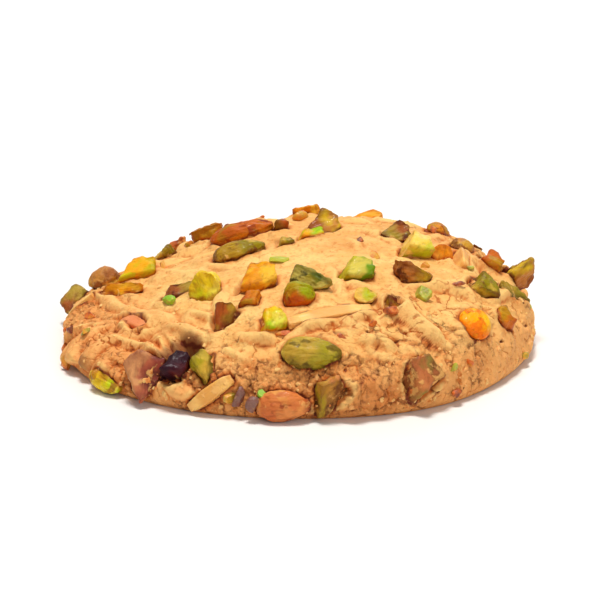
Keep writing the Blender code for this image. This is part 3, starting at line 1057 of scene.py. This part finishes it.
def kernel_material(name):
    """A pistachio's flesh, with what is left of its papery skin on its uncut side."""
    kernel = KERNELS[name]
    material, graph, shader = new_material(
        f"pistachio_{name}",
        subsurface_weight=0.1,
        subsurface_scale=0.001,
        subsurface_radius=(0.8, 0.7, 0.25),
        specular_ior_level=0.12,
    )
    start, end, accent, skin = ((*tone, 1) for tone in kernel[:4])
    # A darker skin tone, for blotches, streaks and the painted shadow where the nut meets the dough
    dark = (*(channel * 0.4 for channel in kernel.skin), 1)
    place = graph.attribute("grain", vector=True)
    contact, bare, corner, rim = graph.attributes("contact", "bare", "corner", "rim")
    broad = graph.noise(graph.wander(place, 3, 2), 3.6, 1, output=1)
    streaks = graph.noise(along_grain(graph, place), 1.3, 3)
    blotch = graph.noise(place, 2.2, 3)

    uneven = 1.8 - graph.attribute("smooth") * 1.5
    fade = graph.attribute("fade") + (graph.part(broad, "X") - 0.5) * uneven
    border = 0.36 + kernel.cover * 0.28
    peel = graph.noise(graph.wander(place, 1.4, 1.1), 3.2, 3) - contact * 0.12
    skinned = graph.step(border + 0.06, border - 0.05, peel) * (1 - bare * 0.8)
    papery = graph.layers(skin, (graph.step(0.48, 0.36, blotch) * 0.7, dark))
    film = graph.noise(graph.wander(place, 1.2, 0.8), 2.0, 3) + contact * 0.22
    filmed = graph.step(0.74 - kernel.film * 0.5, 0.86 - kernel.film * 0.5, film)
    base = graph.layers(
        start,
        (graph.step(-0.45, 0.45, fade), end),
        (graph.step(0.5, 0.62, graph.part(broad, "Y")) * 0.8, accent),
        (graph.step(0.3, 0.9, corner + blotch - 0.5) * 0.4, skin),
        (graph.step(0.47, 0.34, streaks) * 0.25, dark),
        (skinned * 0.9, papery),
        (rim * graph.step(0.44, 0.6, blotch) * 0.6, skin),
        # Where the nut meets the dough: its skin tone, partly painted shade, then a painted shadow
        (graph.step(0.3, 0.75, contact + blotch * 0.4 - 0.2) * 0.8, skin),
        (graph.step(0.6, 1.0, contact) * 0.7, dark),
        (filmed * 0.6, colour("dough_peach")),
    )
    height = (streaks - 0.5) * (0.35 + skinned * 0.2) + skinned * 0.06 + filmed * 0.12
    height = height + graph.ripple(place, 0.45, 0.12)
    roughness = 0.42 + skinned * 0.12 + filmed * 0.3 + (blotch - 0.5) * 0.4
    graph.feed(shader.inputs["Coat Weight"], 0.05 - filmed * 0.05)
    finish_shader(graph, shader, base, roughness, height)
    return material


def fade_along(points, way):
    """From -1 to 1 along a way across the view from the front, 0 to the right and 90 up."""
    elevation, angle = math.radians(VIEW_ELEVATION), math.radians(way)
    up = points[:, 1] * math.sin(elevation) + points[:, 2] * math.cos(elevation)
    along = points[:, 0] * math.cos(angle) + up * math.sin(angle)
    return 2 * (along - along.min()) / np.ptp(along) - 1


def dress_kernel(piece, number, name, way):
    """Rounds the node's copy, but for its cut edges, and marks where it is cut and where its
    skin is gone."""
    bpy.ops.mesh.dissolve_limited(angle_limit=math.radians(1.5))
    object_mode()
    mesh = piece.data
    before = points_of(mesh)
    middle, axes = own_axes(before)
    whole = (before - middle) @ axes.T
    is_cut = np.array([face.loop_total > 4 for face in mesh.polygons])
    rng = random.Random(number)
    is_bare = np.array([cut and rng.random() > KERNELS[name].cover for cut in is_cut])
    crease(mesh, lambda a, b: CUT_CREASE if is_cut[a] or is_cut[b] else 0)
    set_attribute(mesh, "face_cut", is_cut, "FACE")
    set_attribute(mesh, "face_bare", is_bare, "FACE")
    apply_modifier(piece, "SUBSURF", levels=ROUNDING, render_levels=ROUNDING)

    for kind in ("cut", "bare"):
        values = attribute_of(mesh, f"face_{kind}")
        mesh.attributes.remove(mesh.attributes[f"face_{kind}"])
        set_attribute(mesh, kind, softened(mesh, corner_mean(mesh, values)))
    local = (points_of(mesh) - middle) @ axes.T
    local = (local - (local.max(0) + local.min(0)) / 2) * np.ptp(whole, axis=0) / np.ptp(local, axis=0)
    reach = np.linalg.norm(2 * local / np.ptp(local, axis=0), axis=1)
    local += (whole.max(0) + whole.min(0)) / 2
    points = local @ axes + middle
    set_points(mesh, points)
    bare = attribute_of(mesh, "bare")
    marks = {
        "corner": smoothstep(0.7, 1.25, reach),
        "grain": local / MM + (KERNEL_SHIFT * number, 0, 0),
        "fade": fade_along(points, way),
        "whole": np.full(len(points), not is_cut.any()),
        "smooth": np.full(len(points), name in SMOOTH_KERNELS),
        "rim": 4 * bare * (1 - bare),
    }
    for key, values in marks.items():
        set_attribute(mesh, key, values)


def settle(piece, dough):
    """Keeps the piece off the floor, smooths its shading and marks where it meets the dough."""
    points = points_of(piece.data)
    points[:, 2] = np.maximum(points[:, 2], 0)
    set_points(piece.data, points)
    set_attribute(piece.data, "contact", np.exp(-nearest_in(dough, points) / CONTACT_REACH))
    bpy.ops.object.shade_smooth()


class COOKIE_OT_pistachios(Operator):
    """The pistachio kernels: whole, halved and chopped, with and without their skins"""

    bl_idname = "cookie.pistachios"
    bl_label = "Set the pistachios"

    def execute(self, context):
        relief = relief_tree("kernel_relief", kernel_relief)
        dough = dough_tree()
        materials = {}
        nodes = node_names("pistachio")
        for number, (node, (name, way)) in enumerate(zip(nodes, KERNEL_OF_NODE), 1):
            piece = node_copy(node, f"kernel_{number:02d}")
            dress_kernel(piece, number, name, way)
            apply_modifier(piece, "NODES", node_group=relief)
            settle(piece, dough)
            if name not in materials:
                materials[name] = kernel_material(name)
            finish_piece(piece, materials[name], slot_of(node), node)
        return {"FINISHED"}


# Almonds


RUDDY_SLIVER = "almond_02"
RUDDY_TONE = srgb(232, 128, 78)


def almond_relief(graph):
    place = graph.attribute("grain", vector=True)
    stretched = graph.vector("MULTIPLY", place, (0.25, 1, 1))
    return graph.ripple(stretched, 1.5, 0.45) + graph.ripple(place, 4, 0.5)


def almond_material():
    material, graph, shader = new_material(
        "almond",
        subsurface_weight=0.15,
        subsurface_scale=0.0015,
        subsurface_radius=(1.0, 0.7, 0.4),
        specular_ior_level=0.4,
    )
    place = graph.attribute("grain", vector=True)
    streaks = graph.noise(graph.vector("MULTIPLY", place, (0.2, 1.8, 1.8)), 1.0, 3)
    film = graph.patches(0.54, 0.6, graph.wander(place, 1.4, 0.8), 3.2, 3)
    golden = colour("almond_gold")
    base = graph.layers(
        colour("almond_cream"),
        (graph.patches(0.45, 0.75, place, 4, 3) * 0.6, golden),
        (graph.step(0.5, 0.15, graph.attribute("inner")) * 0.55, golden),
        (graph.step(0.55, 0.72, streaks) * 0.35, golden),
        (film * 0.7, colour("dough_peach")),
        (graph.attribute("ruddy") * 0.8, (*RUDDY_TONE, 1)),
    )
    height = (streaks - 0.5) * 0.14 + film * 0.1 + graph.ripple(place, 0.3, 0.05)
    finish_shader(graph, shader, base, 0.42 + film * 0.25 + (streaks - 0.5) * 0.2, height)
    return material


def dress_sliver(piece, number, ruddy):
    """Rounds the node's copy, but for its long edges, and marks its grain."""
    bpy.ops.mesh.tris_convert_to_quads()
    object_mode()
    mesh = piece.data
    normals = [face.normal.copy() for face in mesh.polygons]
    crease(mesh, lambda a, b: SLIVER_CREASE if normals[a].dot(normals[b]) < 0.5 else 0)
    apply_modifier(piece, "SUBSURF", levels=ROUNDING, render_levels=ROUNDING)
    points = points_of(mesh)
    middle, axes = own_axes(points)
    local = (points - middle) @ axes.T / MM
    set_attribute(mesh, "grain", local + (SLIVER_SHIFT * number, 0, 0))
    set_attribute(mesh, "inner", 1 - (np.abs(local) / np.abs(local).max(0)).max(1) ** 3)
    set_attribute(mesh, "ruddy", np.full(len(local), ruddy))


class COOKIE_OT_almonds(Operator):
    """The bare slivers and the flake of almond"""

    bl_idname = "cookie.almonds"
    bl_label = "Set the almonds"

    def execute(self, context):
        relief = relief_tree("almond_relief", almond_relief)
        dough = dough_tree()
        material = almond_material()
        for number, node in enumerate(node_names("almond"), 1):
            piece = node_copy(node, f"sliver_{number:02d}")
            dress_sliver(piece, number, node == RUDDY_SLIVER)
            apply_modifier(piece, "NODES", node_group=relief)
            settle(piece, dough)
            finish_piece(piece, material, "almond", node)
        return {"FINISHED"}


# Chopped bits and crumbs


CHIP_DROPS = (3, 96)
CHIP_ROOM = 0.55
CRUMB_DROPS = (8, 96)
CHIP_EDGE = math.radians(32)  # the angle past which an edge of a bit stays sharp


def chopped_shape(rng, cuts, rough=0.12, subdivisions=2):
    """A ball of unit size chopped by some planes, as a bit of nut or a crumb."""
    ball = start_with("ico_sphere", subdivisions=subdivisions, radius=0.5)
    edit_mode()
    for _ in range(cuts):
        way = Vector((rng.gauss(0, 1), rng.gauss(0, 1), rng.gauss(0, 1))).normalized()
        where = way * rng.uniform(0.12, 0.34)
        bpy.ops.mesh.bisect(plane_co=where, plane_no=way, use_fill=True, clear_outer=True)
        bpy.ops.mesh.select_all(action="SELECT")
    bpy.ops.mesh.normals_make_consistent(inside=False)
    object_mode()
    points, faces = shape_of(ball)
    bpy.data.objects.remove(ball)
    points *= 1 + rough * noise_at(points + rng.uniform(0, 50), 0.35)[:, None]
    return points / np.ptp(points, axis=0), faces


def on_dough(dough, piece):
    """Where the finished dough's skin lies under a spot of its crust."""
    point, directions = crust_frame(piece.bearing, piece.drop)
    out = directions.col[2]
    hit = dough.ray_cast(point + out * REACH * MM, -out, 2 * REACH * MM)
    return (hit[0] or point), directions


def scatter_piece(name, shapes, spots, values):
    """Copies of the shapes at the spots, joined, each with its own value of the attribute
    bit, from 0 to 1, and its own grain."""
    dough = dough_tree()
    copies = []
    bits = []
    grains = []
    for index, (piece, value) in enumerate(zip(spots, values)):
        shape = shapes[index % len(shapes)]
        copies.append(placed(shape, resting_place(piece, *on_dough(dough, piece))))
        bits.append(np.full(len(shape[0]), value))
        grains.append(shape[0] * piece.size + (CHIP_SHIFT * index, 0, 0))
    points, faces = joined(copies)
    points[:, 2] = np.maximum(points[:, 2], 0)
    obj = object_with(name, points, faces)
    set_attribute(obj.data, "bit", np.concatenate(bits))
    set_attribute(obj.data, "grain", np.concatenate(grains))
    bpy.ops.object.shade_smooth_by_angle(angle=CHIP_EDGE)
    return obj


# The chips' tones, each with its place from 0 to 1
CHIP_TONES = (
    (0.0, srgb(140, 188, 30)),
    (0.22, srgb(196, 198, 50)),
    (0.4, srgb(150, 148, 50)),
    (0.55, srgb(222, 158, 40)),
    (0.72, srgb(212, 104, 30)),
    (0.86, srgb(120, 56, 34)),
    (1.0, srgb(132, 88, 74)),
)


def chip_material():
    material, graph, shader = new_material(
        "pistachio_chips", subsurface_weight=0.1, subsurface_scale=0.001
    )
    place = graph.attribute("grain", vector=True)
    ramp = material.node_tree.nodes.new("ShaderNodeValToRGB")
    stops = ramp.color_ramp.elements
    for index, (position, tone) in enumerate(CHIP_TONES):
        stop = stops[index] if index < 2 else stops.new(position)
        stop.position = position
        stop.color = (*tone, 1)
    graph.feed(ramp.inputs["Fac"], graph.attribute("bit") + graph.ripple(place, 1.4, 0.5))
    pale = graph.patches(0.55, 0.7, place, 0.9, 3) * 0.35
    base = graph.layers(Socket(graph, ramp.outputs["Color"]), (pale, colour("dough_peach")))
    roughness = 0.4 + graph.ripple(place, 0.8, 0.3)
    finish_shader(graph, shader, base, roughness, graph.ripple(place, 0.4, 0.16, 3))
    return material


def crumb_material():
    material, graph, shader = new_material(
        "dough_crumbs", subsurface_weight=0.12, subsurface_scale=0.001
    )
    place = graph.attribute("grain", vector=True)
    base = graph.layers(
        colour("dough_cream"),
        (graph.attribute("bit"), colour("dough_tan")),
        (graph.patches(0.5, 0.75, place, 0.6, 3) * 0.5, colour("dough_toast")),
    )
    finish_shader(graph, shader, base, 0.75, graph.ripple(place, 0.25, 0.12, 3))
    return material


# Small bits that the photograph shows one by one, each with the place of its tone among the
# chips' tones
SEEN_CHIPS = (
    (spot((-152, 28), (3.8, 2.2, 1.8), 10, 25), 0.0),
    (spot((-121, 4), (4.2, 2.4, 1.6), 20, 20), 0.2),
    (spot((90, 25), (3.4, 2.6, 2.2), 10, 20), 0.55),
    (spot((37, 37), (3.9, 1.6, 1.5), -20, 10), 0.72),
    (spot((-15, 11), (3.4, 2.4, 1.4), 0, 20), 0.6),
    (spot((-107, 83), (2.6, 2.2, 2.0), 40, 20), 0.5),
    (spot((-105, 85), (4.5, 2.2, 2.2), 80, 10), 0.95),
    (spot((-101, 87), (3.3, 2.8, 2.4), 70, 20), 1.0),
    (spot((-99, 81), (1.9, 1.8, 1.6), 0, 0), 0.0),
    (spot((-95, 46), (3.5, 1.2, 1.0), 10, 0), 0.72),
    (spot((-60, 41), (3.0, 1.6, 1.2), -10, 0), 0.76),
    (spot((18, 8), (3.2, 1.4, 1.2), -40, 0), 0.86),
    (spot((-78, 50), (2.0, 1.0, 0.8), -20, 0), 0.72),
    (spot((-29, 40), (3.0, 1.2, 1.0), -30, 0), 0.8),
)


def chip_size(rng):
    length = rng.uniform(1.2, 2.6) + rng.random() ** 3 * 1.6
    return (length, length * rng.uniform(0.55, 0.85), length * rng.uniform(0.45, 0.75))


class COOKIE_OT_chips(Operator):
    """The fine chopped pistachio"""

    bl_idname = "cookie.chips"
    bl_label = "Scatter the chopped bits"

    def execute(self, context):
        rng = random.Random(sizes().seed + 1)
        seen = [piece for piece, _ in SEEN_CHIPS]
        more = scattered(rng, sizes().chips, chip_size, taken_by(seen, 0.5), CHIP_DROPS, CHIP_ROOM)
        shapes = [chopped_shape(rng, cuts) for cuts in (2, 3, 3, 4, 4, 5, 5)]
        tones = [tone for _, tone in SEEN_CHIPS] + [1 - 0.75 * rng.random() for _ in more]
        chips = scatter_piece("pistachio_chips", shapes, seen + more, tones)
        finish_piece(chips, chip_material(), "kernel_yellow")
        return {"FINISHED"}


class COOKIE_OT_crumbs(Operator):
    """The loose crumbs of dough that cling to the crust"""

    bl_idname = "cookie.crumbs"
    bl_label = "Scatter the crumbs"

    def execute(self, context):
        rng = random.Random(sizes().seed + 2)
        shapes = [chopped_shape(rng, cuts, 0.25, 1) for cuts in (0, 1, 1, 2)]
        spots = []
        for _ in range(sizes().crumbs):
            drop = CRUMB_DROPS[0] + (CRUMB_DROPS[1] - CRUMB_DROPS[0]) * math.sqrt(rng.random())
            length = 0.45 + 0.9 * rng.random() ** 2
            size = (length, length * rng.uniform(0.6, 0.9), length * rng.uniform(0.5, 0.8))
            spots.append(spot((rng.uniform(-180, 180), drop), size, rng.uniform(0, 360), sunk=0.5))
        crumbs = scatter_piece("dough_crumbs", shapes, spots, [rng.random() for _ in spots])
        finish_piece(crumbs, crumb_material(), "dough")
        return {"FINISHED"}


# Stage

CAMERA_DISTANCE = 0.9
PICTURE_WIDTH = 0.120  # of what the camera sees at the cookie
SENSOR_WIDTH = 36  # mm
CAMERA_TARGET = MIDDLE + Vector((0, 0, 9.5)) * MM
FLOOR_RADIUS = 3.0
SKY_STRENGTH = 0.3
# Square lights that face the cookie: name, place, size, power and colour
LIGHTS = (
    ("key", (-0.1, 0.1, 2.25), 0.6, 45, (1, 0.985, 0.96)),
    ("fill", (0.9, -2.0, 1.0), 1.4, 13.5, (1, 1, 1)),
    ("back", (0.4, 1.9, 1.2), 1.0, 7, (1, 1, 1)),
)


def facing_cookie(name, data, where):
    """A light or a camera at its place, turned to the cookie."""
    obj = bpy.data.objects.new(name, data)
    obj.location = where
    obj.rotation_euler = (CAMERA_TARGET - Vector(where)).to_track_quat("-Z", "Y").to_euler()
    bpy.context.scene.collection.objects.link(obj)
    return obj


class COOKIE_OT_stage(Operator):
    """The pale floor, the soft lights and the camera"""

    bl_idname = "cookie.stage"
    bl_label = "Set the stage"

    def execute(self, context):
        floor = start_with("circle", vertices=96, radius=FLOOR_RADIUS, fill_type="NGON")
        floor.name = "floor"
        material = new_material("pale_floor", base_color=colour("floor"), roughness=0.7)[0]
        floor.data.materials.append(material)

        for name, where, size, power, tone in LIGHTS:
            data = bpy.data.lights.new(name, "AREA")
            data.size = size
            data.energy = power
            data.color = tone
            facing_cookie(name, data, where)
        world = bpy.data.worlds.new("studio")
        world.use_nodes = True
        sky = world.node_tree.nodes["Background"].inputs
        sky["Color"].default_value = (1, 1, 1, 1)
        sky["Strength"].default_value = SKY_STRENGTH
        context.scene.world = world

        elevation = math.radians(VIEW_ELEVATION)
        away = Vector((0, -math.cos(elevation), math.sin(elevation)))
        data = bpy.data.cameras.new("camera")
        data.sensor_width = SENSOR_WIDTH
        data.lens = SENSOR_WIDTH * CAMERA_DISTANCE / PICTURE_WIDTH
        data.clip_start = 0.01
        place = CAMERA_TARGET + away * CAMERA_DISTANCE
        context.scene.camera = facing_cookie("camera", data, place)
        context.scene.view_settings.view_transform = "Standard"
        return {"FINISHED"}


# Add-on


class COOKIE_PT_panel(Panel):
    """The cookie's steps and settings"""

    bl_label = "Cookie"
    bl_idname = "COOKIE_PT_panel"
    bl_space_type = "VIEW_3D"
    bl_region_type = "UI"
    bl_category = "Cookie"

    def draw(self, context):
        for step in STEPS:
            self.layout.operator(step.bl_idname)
        for group in (context.scene.cookie_sizes, context.scene.cookie_colours):
            for key in group.__annotations__:
                self.layout.prop(group, key)


STEPS = (
    COOKIE_OT_dough,
    COOKIE_OT_pistachios,
    COOKIE_OT_almonds,
    COOKIE_OT_chips,
    COOKIE_OT_crumbs,
    COOKIE_OT_stage,
)
CLASSES = (CookieSizes, CookieColours, *STEPS, COOKIE_PT_panel)


def register():
    for cls in CLASSES:
        bpy.utils.register_class(cls)
    bpy.types.Scene.cookie_sizes = PointerProperty(type=CookieSizes)
    bpy.types.Scene.cookie_colours = PointerProperty(type=CookieColours)


def unregister():
    del bpy.types.Scene.cookie_colours
    del bpy.types.Scene.cookie_sizes
    for cls in reversed(CLASSES):
        bpy.utils.unregister_class(cls)


def main():
    register()
    for step in STEPS:
        group, name = step.bl_idname.split(".")
        getattr(getattr(bpy.ops, group), name)()


if __name__ == "__main__":
    main()
